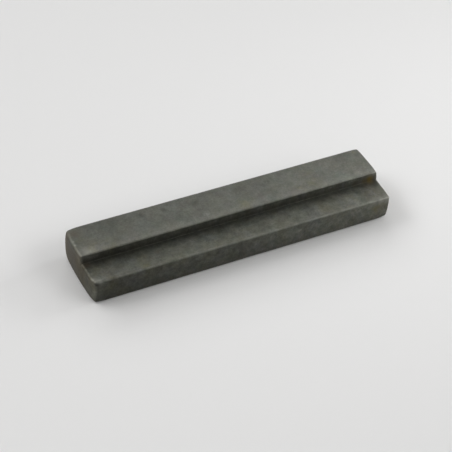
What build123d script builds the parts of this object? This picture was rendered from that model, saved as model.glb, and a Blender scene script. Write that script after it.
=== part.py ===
from build123d import *
import math
import os

# A stepped parallel key: one solid piece of key steel that joins a shaft and a hub
# whose keyways differ in width. The wide base sits in one keyway. The narrow tongue,
# flush with the back flank, stands up into the other.
#
# Millimetres. +X runs along the key, +Y from the open ledge to the back flank, +Z up.
# The origin is the middle of the seat, the flat underside of the base.

# Section across the key
base_width = 10.0  # front flank to back flank
tongue_width = 5.8  # step wall to back flank
base_height = 3.85  # seat to ledge
step_rise = 1.25  # ledge to tongue top

# Length and ends. Each end was cropped from bar: it bows outwards in plan, and it
# leans, so that the top of the key is a little longer than the seat.
key_length = 46.0  # between the two end faces at their furthest
left_crown = 0.2  # bow of the -X end over the base width
right_crown = 0.1  # bow of the +X end over the base width
left_lean = 0.25  # overhang of the -X end over the overall height
right_lean = 0.1  # overhang of the +X end over the overall height

# Edges broken by tumbling, and the two that the step's cutter left sharper
rim_radius = 0.45  # round the ledge, up the ends of the step wall, round the top
seat_radius = 0.5  # round the underside
corner_spare = 0.05  # how much rounder the upright corners are than those edges
step_edge_radius = 0.2  # along the top of the step wall
root_radius = 0.25  # inside corner between ledge and step wall

# Places that several features share
overall_height = base_height + step_rise
back_y = base_width / 2
front_y = back_y - base_width
step_y = back_y - tongue_width
corner_radius = max(rim_radius, seat_radius) + corner_spare


def bar():
    """The stepped section, extruded past both ends before they are cropped."""
    corners = [
        (front_y, 0),
        (back_y, 0),
        (back_y, overall_height),
        (step_y, overall_height),
        (step_y, base_height),
        (front_y, base_height),
    ]
    section = make_face(Polyline(corners, close=True))
    return extrude(Plane.YZ * section, amount=key_length, both=True)


def end_drum(direction, crown, lean):
    """A large drum whose side is one crowned, leaning end face; direction is -1 or 1 along X."""
    # The drum's radius comes from the bow over its chord, the base width.
    radius = (back_y**2 + crown**2) / (2 * crown)
    slope = math.atan2(lean, overall_height)
    # Rounding the rim takes a sliver off the overhang, so the face starts that much further out.
    sliver = rim_radius * (math.tan(slope) + 1 / math.cos(slope) - 1)
    foot = key_length / 2 + sliver - lean - radius / math.cos(slope)
    axis = Plane(
        origin=(direction * foot, 0, 0),
        x_dir=(-direction * math.cos(slope), 0, math.sin(slope)),
        z_dir=(direction * math.sin(slope), 0, math.cos(slope)),
    )
    return axis * Cylinder(radius, 2 * radius)


def step_edge_cutter():
    """What rounds the top of the step wall: a square bar less a quarter circle, run past both ends."""
    start = (step_y + step_edge_radius, overall_height)
    end = (step_y, overall_height - step_edge_radius)
    outside = Polyline(
        end,
        (step_y - step_edge_radius, overall_height - step_edge_radius),
        (step_y - step_edge_radius, overall_height + step_edge_radius),
        (step_y + step_edge_radius, overall_height + step_edge_radius),
        start,
    )
    section = make_face([outside, RadiusArc(start, end, -step_edge_radius)])
    return extrude(Plane.YZ * section, amount=key_length, both=True)


def levels(key):
    """The three level faces: seat, ledge and tongue top."""
    return key.faces().filter_by(Axis.Z).sort_by(Axis.Z)


def flanks(key):
    """The three upright faces that run along the key: front flank, step wall and back flank."""
    return key.faces().filter_by(Axis.Y).sort_by(Axis.Y)


def along(face):
    """A face's straight edges that run along the key, from front to back."""
    return face.edges().filter_by(Axis.X).sort_by(Axis.Y)


def across(face):
    """A face's other edges, which close it at the two ends."""
    return face.edges().filter_by(Axis.X, reverse=True)


def rounded(key):
    """The root and the upright corners first, then the rims that run on round those corners."""
    seat, ledge, top = levels(key)
    key = fillet(along(ledge)[-1], root_radius)
    front, wall, back = flanks(key)
    key = fillet(across(front) + across(back), corner_radius)
    # The ledge's front edge takes its round on along the ledge's ends and up the step wall's.
    seat, ledge, top = levels(key)
    key = fillet(across(top) + along(top)[-1:] + along(ledge)[:1], rim_radius)
    seat, ledge, top = levels(key)
    key = fillet(seat.edges(), seat_radius)
    return key - step_edge_cutter()


key = bar() & end_drum(-1, left_crown, left_lean) & end_drum(1, right_crown, right_lean)
key = rounded(key)
os.makedirs("parts", exist_ok=True)
export_step(key, "parts/stepped_key.step")
print("stepped_key volume", round(key.volume, 1), "mm3, faces", len(key.faces()))
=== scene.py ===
import math

import bpy
import numpy as np
from mathutils import Matrix, Vector


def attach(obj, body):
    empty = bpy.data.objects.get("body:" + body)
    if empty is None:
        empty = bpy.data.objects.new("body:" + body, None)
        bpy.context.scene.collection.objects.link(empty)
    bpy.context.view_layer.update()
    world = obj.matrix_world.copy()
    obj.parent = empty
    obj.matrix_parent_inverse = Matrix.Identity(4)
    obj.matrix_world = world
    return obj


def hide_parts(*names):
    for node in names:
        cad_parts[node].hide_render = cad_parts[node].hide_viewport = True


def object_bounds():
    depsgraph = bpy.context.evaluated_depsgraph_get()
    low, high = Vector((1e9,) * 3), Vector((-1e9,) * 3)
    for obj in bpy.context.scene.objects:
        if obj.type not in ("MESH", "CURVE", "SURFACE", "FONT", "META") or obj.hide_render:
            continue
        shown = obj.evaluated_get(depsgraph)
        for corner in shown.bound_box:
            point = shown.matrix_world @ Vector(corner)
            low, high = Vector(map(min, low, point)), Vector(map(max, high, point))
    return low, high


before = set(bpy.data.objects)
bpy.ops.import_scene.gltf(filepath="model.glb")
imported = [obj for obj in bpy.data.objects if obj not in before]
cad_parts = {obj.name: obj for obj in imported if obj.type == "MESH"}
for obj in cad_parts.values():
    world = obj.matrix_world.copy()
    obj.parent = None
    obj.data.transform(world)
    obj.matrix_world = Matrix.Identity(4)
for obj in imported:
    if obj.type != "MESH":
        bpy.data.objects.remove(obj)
cadLow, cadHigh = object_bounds()
mm = 0.001  # the scene is in metres, the sizes below are in millimetres
low, high = np.array(cadLow) / mm, np.array(cadHigh) / mm
halfWidth, fullHeight = (high[1] - low[1]) / 2, high[2] - low[2]
print("frame loaded, box in mm", np.round(high - low, 2).tolist())


# sRGB hex to linear: each channel over 12.92 near black, elsewhere
# ((channel + 0.055) / 1.055) to the power 2.4
def hexLinear(code):
    channels = np.array([int(code[i:i + 2], 16) for i in (1, 3, 5)]) / 255
    linear = np.where(channels <= 0.04045, channels / 12.92, ((channels + 0.055) / 1.055) ** 2.4)
    return (*linear.tolist(), 1.0)


# adds one node: settings are its properties, the rest its inputs by name or by number
# (i0, i1), and an input that is given a socket is linked to it
def addNode(tree, kind, settings=None, **inputs):
    node = tree.nodes.new(kind)
    for name, value in (settings or {}).items():
        setattr(node, name, value)
    for name, value in inputs.items():
        socket = node.inputs[int(name[1:]) if name[1:].isdigit() else name.replace("_", " ")]
        if isinstance(value, bpy.types.NodeSocket):
            tree.links.new(value, socket)
        else:
            socket.default_value = value
    return node


# a soft wave in space: the sum of plane waves of random direction and phase, of lengths
# from 0.6 to 1.5 of the one asked for, scaled to about -1 to 1
def ripple(points, wavelength, seed, waves=14, lengths=(0.6, 1.5)):
    rng = np.random.default_rng(seed)
    direction = rng.normal(size=(waves, 3))
    direction /= np.linalg.norm(direction, axis=1, keepdims=True)
    number = 2 * math.pi / (wavelength * rng.uniform(*lengths, waves))
    phase = rng.uniform(0, 2 * math.pi, waves)
    total = sum(np.sin(points @ (d * n) + p) for d, n, p in zip(direction, number, phase))
    return total / math.sqrt(waves)


# The key: a stepped bar, cropped to length and tumbled, so every outer edge is rounded.
# Sides are in the order seat, back flank, top, step wall, ledge, front flank.
# Corners are in the order front foot, back foot, back top, step edge, root, ledge edge.
key = {
    "tongueWidth": 5.8,
    "ledgeHeight": 3.85,
    "leftCrown": 0.2, "rightCrown": 0.1,  # how far each end bows out in plan
    "leftLean": 0.25, "rightLean": 0.1,  # how much longer the top is than the seat
    "leanPower": 2.0,
    # where the left end is dragged in beside the step and worn at the front: its y and z,
    # its reach along each, and its depth
    "leftHollows": [(-1.8, 4.1, 2.3, 1.4, 0.18), (-5.0, 2.8, 0.8, 1.5, 0.4)],
    "cornerShift": [0, 0, 0, 0.06, -0.1, 0.08],  # along y: the step wall and the front flank lean
    "leftRound": [0.5, 0.6, 0.5, 0.45, 0.4, 0.3],  # of each side's edge at the left end
    "rightRound": [0.5, 0.5, 0.45, 0.3, 0.45, 0.4],
    "cornerRound": [0.5, 0.5, 0.45, 0.2, 0.05, 0.28],
    "leastRound": 0.02,
    "cornerPeak": [0.5, 0.5, 0.5, 0.5, 0.5, 0.2],  # how far round each corner it is barest
    "capCentre": (1.2, 2.1),  # y and z from which all of an end's outline can be seen
    "sideSteps": [24, 16, 40, 9, 30, 22],
    "cornerSteps": [8, 8, 8, 6, 4, 8],
    "lengthSteps": 340, "rimSteps": 8, "capSteps": 20,
}
sidePlace = np.array([low[2], high[1], high[2], high[1] - key["tongueWidth"],
                      low[2] + key["ledgeHeight"], low[1]])
sideInward = np.array([1, -1, -1, 1, -1, 1])
# each corner: the side that gives its y, the one that gives its z, which way its centre
# lies from there, and the angles that its quarter circle runs through
cornerPlan = [(5, 0, 1, 1, 180, 270), (1, 0, -1, 1, 270, 360), (1, 2, -1, -1, 0, 90),
              (3, 2, 1, -1, 90, 180), (3, 4, -1, 1, 0, -90), (5, 4, 1, -1, 90, 180)]
convex = np.array([1, 1, 1, 1, -1, 1])  # the root alone is hollow


# stepped outline, one row per ring: each side set in by its inset, and each corner a
# quarter circle of its radius between the two sides it joins
def steppedRings(insets, radii):
    side = sidePlace + sideInward * insets
    arcs = []
    for k, (sideY, sideZ, wayY, wayZ, start, stop) in enumerate(cornerPlan):
        turn = np.radians(np.linspace(start, stop, key["cornerSteps"][k] + 1))
        radius = radii[:, k:k + 1]
        arcY = side[:, [sideY]] + key["cornerShift"][k] + radius * (wayY + np.cos(turn))
        arcZ = side[:, [sideZ]] + radius * (wayZ + np.sin(turn))
        arcs.append(np.stack([arcY, arcZ], axis=2))
    runs = []
    for k, arc in enumerate(arcs):
        share = np.linspace(0, 1, key["sideSteps"][k] + 1)[1:-1, None]
        runs += [arc, arc[:, -1:] * (1 - share) + arcs[(k + 1) % len(arcs)][:, :1] * share]
    return np.concatenate(runs, axis=1)


# how much of each side a point of the outline belongs to: 1 on the side itself, and
# passing evenly from one side to the next round a corner; and how near it is to where
# each corner is barest, the sine of its way round, bent so that its peak falls there
def outlineShares(cornerPeak):
    shares, middles = [], []
    for k, peak in enumerate(cornerPeak):
        turn = np.linspace(0, 1, key["cornerSteps"][k] + 1)
        share = np.zeros((len(turn), len(cornerPeak)))
        share[:, k - 1], share[:, k] = 1 - turn, turn
        middle = np.zeros_like(share)
        middle[:, k] = np.sin(math.pi * turn ** (math.log(0.5) / math.log(peak)))
        straight = np.zeros((key["sideSteps"][k] - 1, len(cornerPeak)))
        straight[:, k] = 1
        shares += [share, straight]
        middles += [middle, np.zeros_like(straight)]
    return np.vstack(shares), np.vstack(middles)


# each end bows back with the square of y, and leans back with a power of the depth below
# the top; the left one has bell-shaped hollows as well
def setIn(end, y, z):
    bow = key[end + "Crown"] * (y / halfWidth) ** 2
    lean = key[end + "Lean"] * np.maximum((high[2] - z) / fullHeight, 0) ** key["leanPower"]
    back = bow + lean
    if end == "left":
        for middleY, middleZ, reachY, reachZ, deep in key["leftHollows"]:
            back = back + deep * np.exp(-((y - middleY) / reachY) ** 2 - ((z - middleZ) / reachZ) ** 2)
    return back


# rings from the left pole to the right one: the cap grows from its centre, the rim turns
# from the end face onto the sides, the length runs straight, and the other end mirrors it
capShrink = np.linspace(0, 1, key["capSteps"] + 1)[1:]
rimTurn = np.linspace(math.pi / 2, 0, key["rimSteps"] + 1)[1:-1]
lengthShare = np.linspace(0, 1, key["lengthSteps"] + 1)
capTurn = np.full(len(capShrink), math.pi / 2)
endCount = len(capShrink) + len(rimTurn)
ringShrink = np.concatenate([capShrink, np.ones(len(rimTurn) * 2 + len(lengthShare)), capShrink[::-1]])
ringTurn = np.concatenate([capTurn, rimTurn, np.zeros(len(lengthShare)), rimTurn[::-1], capTurn])
ringShare = np.concatenate([np.zeros(endCount), lengthShare, np.ones(endCount)])
onLeft = (ringShare < 0.5)[:, None]
sideShare, cornerBare = outlineShares(key["cornerPeak"])

# outline of each ring: the rim's quarter turn draws every side in by its own radius
leftRound, rightRound = np.array(key["leftRound"]), np.array(key["rightRound"])
insets = np.where(onLeft, leftRound, rightRound) * (1 - np.cos(ringTurn))[:, None]
cornerInset = (insets + np.roll(insets, 1, axis=1)) / 2
radii = np.maximum(np.array(key["cornerRound"]) - convex * cornerInset, key["leastRound"])
capCentre = np.array(key["capCentre"])
outline = capCentre + (steppedRings(insets, radii) - capCentre) * ringShrink[:, None, None]
y, z = outline[..., 0], outline[..., 1]

# place along the key: in from the box by the end's own set-in and, on the rim, by its radius
# times one minus the sine of its turn; from one end to the other it runs evenly
protrude = (1 - np.sin(ringTurn))[:, None]
fromLeft = protrude * leftRound @ sideShare.T + setIn("left", y, z)
fromRight = protrude * rightRound @ sideShare.T + setIn("right", y, z)
share = ringShare[:, None]
x = (low[0] + fromLeft) * (1 - share) + (high[0] - fromRight) * share
surface = np.stack([x, y, z], axis=2)
print("key surface", surface.shape[:2], "rings and outline points")

# Tumbling: a slight unevenness, small dents anywhere, the few that show on the edges, and
# the outer corners worn round, each with a place in mm, a size and a depth
wear = {
    "unevenDepth": 0.006, "unevenLength": 7.0, "unevenSeed": 3,
    "dents": 70, "dentSize": (0.2, 0.6), "dentDepth": (0.004, 0.016), "dentSeed": 11,
    "edgeDents": [(3.1, -0.75, 5.1, 0.25, 0.07), (4.6, -0.75, 5.1, 0.25, 0.05),
                  (12.4, -0.75, 5.1, 0.2, 0.05), (17.4, -0.75, 5.1, 0.25, 0.05),
                  (18.8, -0.75, 5.1, 0.2, 0.06), (16.2, -5.0, 3.85, 0.2, 0.07),
                  (-22.25, -4.85, 3.57, 0.17, 0.12)],
    "vertexWear": [(22.8, -5.0, 0.0, 1.0, 0.13), (-22.6, -5.0, 0.0, 0.9, 0.12),
                   (-22.6, 5.0, 0.0, 0.9, 0.12), (-22.8, 5.0, 5.1, 1.0, 0.16),
                   (22.8, 5.0, 0.0, 0.9, 0.12), (22.9, 5.0, 5.1, 0.8, 0.04),
                   (22.9, -0.75, 5.1, 0.6, 0.1), (22.9, -4.9, 3.85, 0.8, 0.05),
                   (-22.7, -0.8, 5.1, 0.8, 0.18)],
}


# outward normals: the cross product of the steps along and round the surface
def outward(surface):
    alongStep = np.gradient(surface, axis=0)
    roundStep = np.roll(surface, -1, axis=1) - np.roll(surface, 1, axis=1)
    normal = np.cross(roundStep, alongStep)
    return normal / np.maximum(np.linalg.norm(normal, axis=2, keepdims=True), 1e-9)  # never over zero


# a bell round a place: e to the power of minus the square of the distance over the size
def bell(surface, place, size):
    return np.exp(-(((surface - np.array(place)) / size) ** 2).sum(2))


normal = outward(surface)
depth = wear["unevenDepth"] * (1 + ripple(surface, wear["unevenLength"], wear["unevenSeed"])) / 2
rng = np.random.default_rng(wear["dentSeed"])
for _ in range(wear["dents"]):
    place = surface[rng.integers(surface.shape[0]), rng.integers(surface.shape[1])]
    size = rng.uniform(*wear["dentSize"])
    depth = depth + rng.uniform(*wear["dentDepth"]) * bell(surface, place, size)
for *place, size, deep in wear["edgeDents"] + wear["vertexWear"]:
    depth = depth + deep * bell(surface, place, size)
surface = surface - normal * depth[..., None]
surface = np.clip(surface, low, high)
print("key dented and worn by up to", round(float(depth.max()), 2), "mm")

# Rubbing, staining and painted light: how pale the coat is on each side at the two ends, which also paints
# the shade on the sides facing away from the light and the light growing towards the right end, how much
# paler near an edge and darker near the root (painted shade), how bare each rounded corner and end edge
# is, then single spots, each with a place in mm, a size and a strength
rubbingAndPaintedLight = {
    # per side at each end: the coat's paleness with painted light and shade, darkest on the front flank
    # facing away from the light, paler towards the right end
    "leftCoatAndPaintedLight": [0.7, 0.6, 1.0, 0.85, 0.93, 0.54], "leftFace": 0.93,
    "rightCoatAndPaintedLight": [1.0, 1.1, 1.52, 1.54, 1.24, 1.1], "rightFace": 1.2,
    "rimPaler": 0.14, "rimPower": 6,  # an end face is half of this paler at its rim, half darker inside
    "leftCropped": 1.0, "rightCropped": 0.5,  # how much each end face shows its browner cut
    "uneven": [0.3, 0.3, 0.05, 0.25, 0.2, 0.4],  # how strongly each side is mottled besides
    "oliveAll": [0.15, 0.15, 0.0, 0.15, 0.12, 0.15],
    # each band: the corner it runs along, the sides it lies on, its width and its strength; the root band,
    # darkening the step wall and ledge towards the inner corner, and the step arc band, darkening the
    # rounding under the step edge, are painted shade
    "edgeBands": {"step edge": (3, [2], 1.1, 0.34), "ledge edge": (5, [4], 0.8, 0.2),
                  "back edge": (2, [2], 1.2, -0.06), "step lip": (3, [2], 0.45, -0.08),
                  "step arc": (3, [3], 0.35, -0.3),
                  "root": (4, [3, 4], 1.1, -0.5), "root line": (4, [3, 4], 0.25, 0.12)},
    "bandRipple": 0.22, "bandLength": 1.8,  # how much the bands' widths vary, and over what length
    "bandLeast": 0.05, "bandSeed": 17,
    "corners": [0.05, 0.05, 0.1, 0.1, 0.0, 0.38],
    "leftEnd": [0.05, 0.1, 0.1, 0.05, 0.0, 0.08],
    "rightEnd": [0.05, 0.2, 0.3, 0.3, 0.4, 0.2],
    # barer and duller stretches along an edge: their length, their mean and their swing
    "patchLength": 1.6, "patchMean": 0.8, "patchSwing": 0.35, "patchSeed": 5,
    "bareSpots": [(-22.1, -0.2, 5.1, 0.8, 0.5), (-22.4, -4.1, 3.85, 0.35, 0.5),
                  (-22.1, -4.6, 3.85, 0.35, 0.8), (-21.7, -4.7, 3.82, 0.35, 0.8),
                  (-22.55, 2.3, 5.05, 0.12, 0.8), (-22.6, 1.6, 5.05, 0.12, 0.8),
                  (22.4, -0.5, 5.1, 0.45, 0.7), (22.4, -4.8, 3.8, 0.6, 0.9),
                  (21.4, -4.85, 3.8, 0.6, 0.8), (20.3, -4.9, 3.8, 0.6, 0.5),
                  (16.2, -4.9, 3.82, 0.14, 1.0), (15.3, -4.9, 3.82, 0.1, 0.6)],
    "paleSpots": [(-21.4, -0.3, 5.1, 1.1, 0.45), (-21.6, -4.1, 3.85, 0.9, 0.12),
                  # the second spot below lightens the left end face where its hollow shades it: painted
                  # light
                  (-22.5, -4.8, 1.6, 1.6, 0.16), (-22.83, -0.4, 4.2, 0.8, 0.32),
                  (-22.96, 1.6, 4.7, 1.0, 0.04), (11.9, -3.4, 3.85, 0.8, 0.18),
                  (17.5, -2.9, 3.85, 1.4, 0.25), (21.0, -3.4, 3.85, 1.2, 0.2),
                  (19.0, -1.1, 4.1, 1.6, 0.1), (-20.8, -0.8, 4.8, 1.6, 0.22),
                  (8.3, -5.0, 2.5, 0.35, 0.5), (18.6, -5.0, 3.0, 1.2, 0.25)],
    "oliveSpots": [(-18.6, -0.2, 5.1, 1.3, 0.4), (-21.8, 2.4, 5.1, 0.8, 0.4),
                   (13.2, 3.2, 5.1, 1.0, 0.4), (11.0, 0.4, 5.1, 0.8, 0.4),
                   (-14.8, -3.7, 3.85, 1.4, 0.6), (-4.3, -4.3, 3.85, 0.9, 0.5),
                   (12.8, -3.2, 3.85, 1.2, 0.35), (17.4, -2.8, 3.85, 1.2, 0.4),
                   (21.2, -5.0, 2.4, 1.2, 0.9), (20.5, -3.4, 3.85, 1.4, 0.5),
                   (21.8, 4.3, 5.1, 0.4, 0.5), (-20.0, 0.3, 5.1, 1.6, 0.38),
                   (-20.8, -3.3, 3.85, 1.6, 0.35), (2.4, 0.4, 5.1, 1.2, 0.35),
                   (13.4, 1.0, 5.1, 1.3, 0.25), (-19.5, -5.0, 2.4, 3.0, 0.36),
                   (-11.0, -5.0, 2.2, 3.0, 0.24), (-4.0, -5.0, 2.2, 2.5, 0.22)],
    "rustSpots": [(21.7, -0.85, 4.15, 0.6, 1.0), (20.8, -0.85, 4.1, 0.45, 0.4)],
    "brownSpots": [(-22.1, -1.3, 3.85, 0.5, 0.6), (-22.0, 3.7, 5.1, 0.7, 0.5),
                   (21.3, -5.0, 2.5, 1.0, 0.3), (19.4, -0.8, 4.1, 0.6, 0.4),
                   (-12.4, -2.6, 3.85, 0.4, 0.4), (-22.8, 2.6, 3.4, 1.3, 0.2),
                   (20.8, -1.8, 3.85, 0.9, 0.22), (20.3, -3.6, 3.85, 1.3, 0.14),
                   (13.8, -3.4, 3.85, 1.5, 0.13), (-14.2, -3.6, 3.85, 1.3, 0.17),
                   (-19.5, -3.4, 3.85, 1.6, 0.14)],
    # where the left end face has less of its brown
    "greySpots": [(-22.5, -4.6, 1.6, 2.4, 0.85), (-22.9, 2.0, 4.8, 1.6, 0.3)],
    "darkSpots": [(-8.8, 3.5, 5.1, 0.4, 0.3), (-12.1, 3.6, 5.1, 0.4, 0.25),
                  (-4.1, 3.2, 5.1, 0.4, 0.2), (-17.5, 4.2, 5.1, 2.2, 0.16),
                  (2.8, 3.3, 5.1, 0.9, 0.2), (19.6, 4.1, 5.1, 2.0, 0.11),
                  (21.95, 3.5, 5.1, 0.35, 0.15), (-5.8, -5.0, 3.0, 0.3, 0.25),
                  # after the pit: the left end of the ledge rim, darkened as stain and as painted shade
                  # against the highlight its rounding catches
                  (-22.25, -4.85, 3.57, 0.25, 0.85), (-22.6, -1.6, 3.8, 0.5, 0.25),
                  (-22.6, -2.5, 3.8, 0.5, 0.22), (-22.6, -3.4, 3.8, 0.4, 0.14),
                  # step wall: patches that darken it, painted shade
                  (-22.4, -0.8, 4.6, 0.6, 0.3), (22.4, -0.8, 4.6, 0.5, 0.25),
                  (1.0, -0.8, 4.6, 0.9, 0.1), (2.4, -0.8, 4.6, 0.9, 0.12),
                  (3.8, -0.8, 4.6, 0.8, 0.12), (4.9, -0.8, 4.6, 0.7, 0.26),
                  (6.3, -0.8, 4.6, 0.9, 0.14), (7.7, -0.8, 4.6, 0.9, 0.14),
                  (9.1, -0.8, 4.6, 0.9, 0.13), (10.5, -0.8, 4.6, 0.9, 0.08),
                  (12.6, -0.7, 5.0, 1.1, 0.1),
                  # ledge, and along its edge
                  (-2.5, -3.4, 3.85, 2.2, 0.08), (2.8, -3.4, 3.85, 2.2, 0.1),
                  (11.0, -3.3, 3.85, 1.2, 0.13), (3.5, -4.9, 3.85, 1.0, 0.12),
                  (5.5, -4.9, 3.85, 1.0, 0.12), (7.5, -4.9, 3.85, 1.0, 0.12),
                  (9.3, -4.9, 3.85, 1.0, 0.12)],
}


# a bell of each spot's size at its place, the strongest one counting at each point
def spotted(surface, spots):
    return np.max([strength * bell(surface, place, size) for *place, size, strength in spots], axis=0)


# a bell of the distance from a corner of the section, on the sides named, its width
# wavering as it runs
def edgeBand(corner, sides, width, strength):
    sideY, sideZ = cornerPlan[corner][:2]
    cornerY = sidePlace[sideY] + key["cornerShift"][corner]
    distance = np.hypot(surface[..., 1] - cornerY, surface[..., 2] - sidePlace[sideZ])
    waver = ripple(surface, rubbingAndPaintedLight["bandLength"], rubbingAndPaintedLight["bandSeed"] + corner)
    width = np.maximum(width * (1 + rubbingAndPaintedLight["bandRipple"] * waver), rubbingAndPaintedLight["bandLeast"])
    return strength * sideShare[:, sides].sum(1) * np.exp(-(distance / width) ** 2)


# how pale the coat is, with the painted light and shade it carries: from one end's value to the other's
# along each side, then the bands along the edges, the two end faces, and the paler and darker spots
alongShare = (surface[..., 0] - low[0]) / (high[0] - low[0])
coatAndPaintedLight = (sideShare @ np.array(rubbingAndPaintedLight["leftCoatAndPaintedLight"])) * (1 - alongShare)
coatAndPaintedLight = coatAndPaintedLight + (sideShare @ np.array(rubbingAndPaintedLight["rightCoatAndPaintedLight"])) * alongShare
for band in rubbingAndPaintedLight["edgeBands"].values():
    coatAndPaintedLight = coatAndPaintedLight * (1 + edgeBand(*band))
faceShare = (ringTurn / (math.pi / 2))[:, None]
faceCoat = np.where(onLeft, rubbingAndPaintedLight["leftFace"], rubbingAndPaintedLight["rightFace"])
faceCoat = faceCoat * (1 + rubbingAndPaintedLight["rimPaler"] * (ringShrink[:, None] ** rubbingAndPaintedLight["rimPower"] - 0.5))
coatAndPaintedLight = coatAndPaintedLight * (1 - faceShare) + faceCoat * faceShare
coatAndPaintedLight = coatAndPaintedLight * (1 + spotted(surface, rubbingAndPaintedLight["paleSpots"])) * (1 - spotted(surface, rubbingAndPaintedLight["darkSpots"]))

# how bare the steel is: the end edges and the corners in patches, and the bare spots
patchy = rubbingAndPaintedLight["patchMean"] + rubbingAndPaintedLight["patchSwing"] * ripple(surface, rubbingAndPaintedLight["patchLength"],
                                                               rubbingAndPaintedLight["patchSeed"])
leftRub = sideShare @ np.array(rubbingAndPaintedLight["leftEnd"])
rightRub = sideShare @ np.array(rubbingAndPaintedLight["rightEnd"])
endRub = np.sin(2 * ringTurn)[:, None] * np.where(onLeft, leftRub, rightRub)
cornerRub = np.cos(ringTurn)[:, None] * (cornerBare @ np.array(rubbingAndPaintedLight["corners"]))
bare = np.maximum(np.maximum(endRub, cornerRub) * patchy, spotted(surface, rubbingAndPaintedLight["bareSpots"]))

faceCropped = np.where(onLeft, rubbingAndPaintedLight["leftCropped"], rubbingAndPaintedLight["rightCropped"])
oliveAll = sideShare @ np.array(rubbingAndPaintedLight["oliveAll"])
extras = {
    "bare": np.clip(bare, 0, 1),
    "rust": spotted(surface, rubbingAndPaintedLight["rustSpots"]),
    "brown": spotted(surface, rubbingAndPaintedLight["brownSpots"]),
    "olive": np.maximum(spotted(surface, rubbingAndPaintedLight["oliveSpots"]), oliveAll),
    "uneven": sideShare @ np.array(rubbingAndPaintedLight["uneven"]) + np.zeros_like(coatAndPaintedLight),
    "cropped": faceShare * faceCropped * (1 - spotted(surface, rubbingAndPaintedLight["greySpots"])),
    "coatAndPaintedLight": coatAndPaintedLight,
}
print("key rubbed and stained:", ", ".join(extras))


# closes the grid round the outline and puts one vertex on each pole; each extra is one
# number per point, kept on the mesh as an attribute for the material to read
def gridMesh(name, surface, poles, extras):
    rings, across = surface.shape[:2]
    points = np.vstack([surface.reshape(-1, 3), poles]) * mm
    index = np.arange(rings * across).reshape(rings, across)
    after = np.roll(index, -1, axis=1)
    quads = np.stack([index[:-1], after[:-1], after[1:], index[1:]], axis=2).reshape(-1, 4)
    first, last = rings * across, rings * across + 1
    start = np.stack([np.full(across, first), after[0], index[0]], axis=1)
    stop = np.stack([np.full(across, last), index[-1], after[-1]], axis=1)
    mesh = bpy.data.meshes.new(name)
    mesh.from_pydata(points, [], quads.tolist() + start.tolist() + stop.tolist())
    for label, extra in extras.items():
        values = np.concatenate([extra.ravel(), [extra[0].mean(), extra[-1].mean()]])
        attribute = mesh.attributes.new(label, "FLOAT", "POINT")
        attribute.data.foreach_set("value", values.astype(np.float32))
    mesh.shade_smooth()
    mesh.update()
    return mesh


poles = np.array([[low[0] + setIn("left", *capCentre), *capCentre],
                  [high[0] - setIn("right", *capCentre), *capCentre]])
keyMesh = gridMesh("tumbled_key", surface, poles, extras)
keyPiece = bpy.data.objects.new("tumbled_key", keyMesh)
bpy.context.scene.collection.objects.link(keyPiece)
print("key mesh", len(keyMesh.vertices), "vertices", len(keyMesh.polygons), "faces")

# Phosphated key steel: drawn bar, cropped, coated in a fine dark crystal and tumbled. The
# eye gets a matt dark grey, a little green, with soft clouds, olive and brown stains,
# paler rubbed edges and a touch of rust in the step, with painted light and shade: front flank, step wall
# and root darker, right end paler.
finish = {
    "coatDark": "#4f524e", "coatPale": "#727470",
    "olive": "#6d6b52", "brown": "#5a5044", "croppedCoat": "#5f574c",
    "greenCast": "#576157", "redCast": "#67605d",
    "bareSteel": "#9b9b94", "rust": "#675930",
    # each pattern: its scale per mm, its octaves, how far from its middle it reaches 0 and 1,
    # and how far off in space it is taken; the crystals are finer than 0.05 mm, and the grain
    # is drawn at 0.3 mm so that it shows
    "patterns": {"clouds": (0.2, 2.0, 0.2, 0.0), "mottle": (1.1, 4.0, 0.2, 13.0),
                 "stains": (0.4, 4.0, 0.15, 31.0), "green": (0.35, 4.0, 0.2, 47.0),
                 "red": (0.35, 4.0, 0.2, 71.0), "grain": (3.2, 2.0, 0.25, 5.0)},
    "patternWay": (1.0, 0.7, 1.3),  # the direction in which they are taken apart
    "fineness": 0.76,  # how strong each finer octave is
    "mottleShare": 0.6,  # of the mottle against the clouds
    "castMost": 0.4,  # how far the green and red casts go
    "oliveEverywhere": 0.15,  # outside the olive spots
    "bareMost": 0.6,  # how far an edge goes to bare steel
    # from the least to the most by which a pattern varies each of these
    "croppedRange": (0.4, 1.0), "grainRange": (0.86, 1.14), "rustRange": (0.7, 1.3),
    "roughness": 0.6, "bareRoughness": 0.45, "rustMetallic": 0.6,
    "grainBump": 0.006,  # mm
}
steel = bpy.data.materials.new("phosphated_steel_tumbled")
steel.use_nodes = True
tree = steel.node_tree
shader = tree.nodes["Principled BSDF"]
times, timesClamped = {"operation": "MULTIPLY"}, {"operation": "MULTIPLY", "use_clamp": True}
objectPlace = addNode(tree, "ShaderNodeTexCoord").outputs["Object"]
inMm = addNode(tree, "ShaderNodeMapping", Vector=objectPlace, Scale=(1 / mm, 1 / mm, 1 / mm)).outputs[0]

# patterns: noise, its middle range spread over 0 to 1
pattern = {}
for name, (scale, detail, spread, offset) in finish["patterns"].items():
    shift = [offset * way for way in finish["patternWay"]]
    moved = addNode(tree, "ShaderNodeMapping", Vector=inMm, Location=shift).outputs[0]
    noise = addNode(tree, "ShaderNodeTexNoise", Vector=moved, Scale=scale, Detail=detail,
                    Roughness=finish["fineness"]).outputs["Fac"]
    pattern[name] = addNode(tree, "ShaderNodeMapRange", i0=noise, i1=0.5 - spread,
                            i2=0.5 + spread).outputs[0]
marks = {}
for label in extras:
    marks[label] = addNode(tree, "ShaderNodeAttribute", {"attribute_name": label}).outputs["Fac"]

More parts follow.
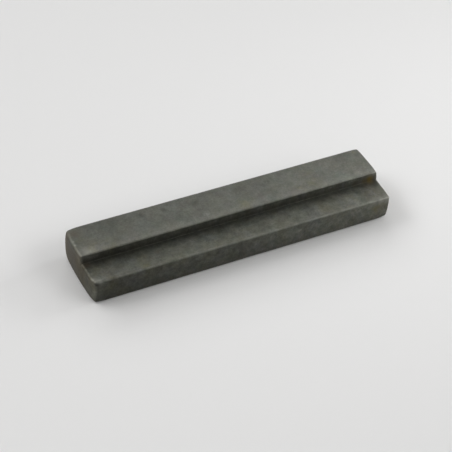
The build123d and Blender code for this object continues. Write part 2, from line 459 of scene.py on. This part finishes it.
# how strong each layer of colour is
amount = {"brown": marks["brown"]}
amount["coatPale"] = addNode(tree, "ShaderNodeMix", i0=finish["mottleShare"], i2=pattern["clouds"],
                             i3=pattern["mottle"]).outputs[0]
for cast in ("green", "red"):
    amount[cast + "Cast"] = addNode(tree, "ShaderNodeMath", timesClamped, i0=pattern[cast],
                                    i1=finish["castMost"]).outputs[0]
least, most = finish["croppedRange"]
crop = addNode(tree, "ShaderNodeMapRange", i0=pattern["stains"], i3=least, i4=most).outputs[0]
amount["croppedCoat"] = addNode(tree, "ShaderNodeMath", timesClamped, i0=marks["cropped"],
                                i1=crop).outputs[0]
everywhere = addNode(tree, "ShaderNodeMath", timesClamped, i0=pattern["stains"],
                     i1=finish["oliveEverywhere"]).outputs[0]
amount["olive"] = addNode(tree, "ShaderNodeMath", {"operation": "MULTIPLY_ADD", "use_clamp": True},
                          i0=marks["olive"], i1=pattern["stains"], i2=everywhere).outputs[0]
amount["bareSteel"] = addNode(tree, "ShaderNodeMath", timesClamped, i0=marks["bare"],
                              i1=finish["bareMost"]).outputs[0]
least, most = finish["rustRange"]
bloom = addNode(tree, "ShaderNodeMapRange", i0=pattern["clouds"], i3=least, i4=most).outputs[0]
amount["rust"] = addNode(tree, "ShaderNodeMath", timesClamped, i0=marks["rust"], i1=bloom).outputs[0]

# how bright the coat is: its own paleness with the painted light and shade it carries, the grain, and the
# mottle about its middle
least, most = finish["grainRange"]
grainShade = addNode(tree, "ShaderNodeMapRange", i0=pattern["grain"], i3=least, i4=most).outputs[0]
shade = addNode(tree, "ShaderNodeMath", times, i0=marks["coatAndPaintedLight"], i1=grainShade).outputs[0]
swing = addNode(tree, "ShaderNodeMath", {"operation": "SUBTRACT"}, i0=pattern["mottle"], i1=0.5).outputs[0]
swing = addNode(tree, "ShaderNodeMath", {"operation": "MULTIPLY_ADD"}, i0=swing, i1=marks["uneven"],
                i2=1.0).outputs[0]
shade = addNode(tree, "ShaderNodeMath", times, i0=shade, i1=swing).outputs[0]

# the coat's layers, then its shade with the painted light, then what lies on it or shows through it
colour = hexLinear(finish["coatDark"])
for layer in ("coatPale", "greenCast", "redCast", "croppedCoat", "olive", "shade", "brown",
              "bareSteel", "rust"):
    if layer == "shade":
        colour = addNode(tree, "ShaderNodeVectorMath", {"operation": "SCALE"}, i0=colour,
                         Scale=shade).outputs[0]
    else:
        colour = addNode(tree, "ShaderNodeMix", {"data_type": "RGBA"}, i0=amount[layer], i6=colour,
                         i7=hexLinear(finish[layer])).outputs[2]
metallic = addNode(tree, "ShaderNodeMapRange", i0=amount["rust"], i3=1.0,
                   i4=finish["rustMetallic"]).outputs[0]
roughness = addNode(tree, "ShaderNodeMapRange", i0=marks["bare"], i3=finish["roughness"],
                    i4=finish["bareRoughness"]).outputs[0]
bump = addNode(tree, "ShaderNodeBump", Height=pattern["grain"], Strength=1.0,
               Distance=finish["grainBump"] * mm).outputs["Normal"]
tree.links.new(colour, shader.inputs["Base Color"])
tree.links.new(metallic, shader.inputs["Metallic"])
tree.links.new(roughness, shader.inputs["Roughness"])
tree.links.new(bump, shader.inputs["Normal"])
keyPiece.data.materials.append(steel)
print("steel finished with", len(tree.nodes), "nodes")

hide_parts("stepped_key")
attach(keyPiece, "root")

# Floor: a wide disc of matt paper, rings of points from the middle outwards, just clear of
# the seat. The eye gets an even pale grey that has no highlight and takes soft shadows.
floorPlan = {"reach": 1500.0, "rings": 24, "around": 96, "gap": 0.01,
             "colour": "#e4e4e4", "roughness": 0.9, "specular": 0.1}
floorHeight = low[2] - floorPlan["gap"]
radius = np.linspace(0, 1, floorPlan["rings"] + 1)[1:] ** 2 * floorPlan["reach"]
turn = np.linspace(0, 2 * math.pi, floorPlan["around"], endpoint=False)
disc = np.stack([radius[:, None] * np.cos(turn), radius[:, None] * np.sin(turn),
                 np.full((len(radius), len(turn)), floorHeight)], axis=2)
points = np.vstack([disc.reshape(-1, 3), [[0, 0, floorHeight]]]) * mm
index = np.arange(disc.shape[0] * disc.shape[1]).reshape(disc.shape[:2])
after = np.roll(index, -1, axis=1)
faces = np.stack([index[:-1], index[1:], after[1:], after[:-1]], axis=2).reshape(-1, 4).tolist()
faces += np.stack([np.full(len(turn), len(points) - 1), index[0], after[0]], axis=1).tolist()
floorMesh = bpy.data.meshes.new("floor")
floorMesh.from_pydata(points, [], faces)
floor = bpy.data.objects.new("floor", floorMesh)
bpy.context.scene.collection.objects.link(floor)
paper = bpy.data.materials.new("matt_paper")
paper.use_nodes = True
paperShader = paper.node_tree.nodes["Principled BSDF"]
paperShader.inputs["Base Color"].default_value = hexLinear(floorPlan["colour"])
paperShader.inputs["Roughness"].default_value = floorPlan["roughness"]
paperShader.inputs["Specular IOR Level"].default_value = floorPlan["specular"]
floorMesh.materials.append(paper)

# Light: a broad window behind, another behind to the left, a fill from the front right, one
# small lamp with a narrow beam close to the right end, and a dim even surround. Angles are in
# degrees, distances and sizes in metres, powers in watts.
lamps = {
    "window_back": {"azimuth": 0, "elevation": 28, "distance": 0.9, "size": (1.0, 0.35),
                    "power": 2.97, "spread": 180},
    "window_left": {"azimuth": 305, "elevation": 40, "distance": 0.9, "size": (0.6, 0.35),
                    "power": 3.18, "spread": 180},
    "fill_right": {"azimuth": 130, "elevation": 35, "distance": 0.9, "size": (0.6, 0.35),
                   "power": 2.07, "spread": 180},
    "near_right": {"azimuth": 90, "elevation": 20, "distance": 0.17, "size": (0.08, 0.08),
                   "power": 0.016, "spread": 60},
}
surround = {"colour": "#fffefc", "strength": 0.35}
# each lamp stands on a sphere round the key: azimuth from +Y towards +X, and it faces the key
for name, plan in lamps.items():
    azimuth, elevation = math.radians(plan["azimuth"]), math.radians(plan["elevation"])
    level = math.cos(elevation)
    way = Vector((math.sin(azimuth) * level, math.cos(azimuth) * level, math.sin(elevation)))
    lamp = bpy.data.lights.new(name, "AREA")
    lamp.shape, lamp.energy = "RECTANGLE", plan["power"]
    lamp.size, lamp.size_y = plan["size"]
    lamp.spread = math.radians(plan["spread"])
    holder = bpy.data.objects.new(name, lamp)
    holder.location = way * plan["distance"]
    holder.rotation_euler = way.to_track_quat("Z", "Y").to_euler()
    holder.visible_camera = False
    bpy.context.scene.collection.objects.link(holder)
world = bpy.data.worlds.new("surround")
bpy.context.scene.world = world
world.use_nodes = True
world.node_tree.nodes["Background"].inputs["Color"].default_value = hexLinear(surround["colour"])
world.node_tree.nodes["Background"].inputs["Strength"].default_value = surround["strength"]

# Camera: looks down on the ledge side from the left, a little rolled. Angles are in degrees,
# the lens and its sensor in millimetres, distances in metres.
view = {"azimuth": -30.996, "elevation": 43.238, "roll": 6.186, "lens": 132.00, "sensor": 36,
        "distance": 0.23111, "right": -0.000551, "up": 0.001374, "clip": (0.01, 10)}
azimuth, elevation, roll = (math.radians(view[k]) for k in ("azimuth", "elevation", "roll"))
level = math.cos(elevation)
back = Vector((math.sin(azimuth) * level, -math.cos(azimuth) * level, math.sin(elevation)))
right = Vector((math.cos(azimuth), math.sin(azimuth), 0))
up = back.cross(right)
cameraData = bpy.data.cameras.new("camera")
cameraData.lens, cameraData.sensor_width = view["lens"], view["sensor"]
cameraData.clip_start, cameraData.clip_end = view["clip"]
camera = bpy.data.objects.new("camera", cameraData)
xAxis = right * math.cos(roll) + up * math.sin(roll)
yAxis = up * math.cos(roll) - right * math.sin(roll)
foot = Vector(((cadLow.x + cadHigh.x) / 2, (cadLow.y + cadHigh.y) / 2, cadLow.z))
eye = foot + back * view["distance"] + right * view["right"] + up * view["up"]
turned = Matrix((xAxis, yAxis, back)).transposed().to_4x4()
camera.matrix_world = Matrix.Translation(eye) @ turned
bpy.context.scene.collection.objects.link(camera)
bpy.context.scene.camera = camera
bpy.context.scene.view_settings.view_transform = "Standard"
print("floor, lamps and camera placed")
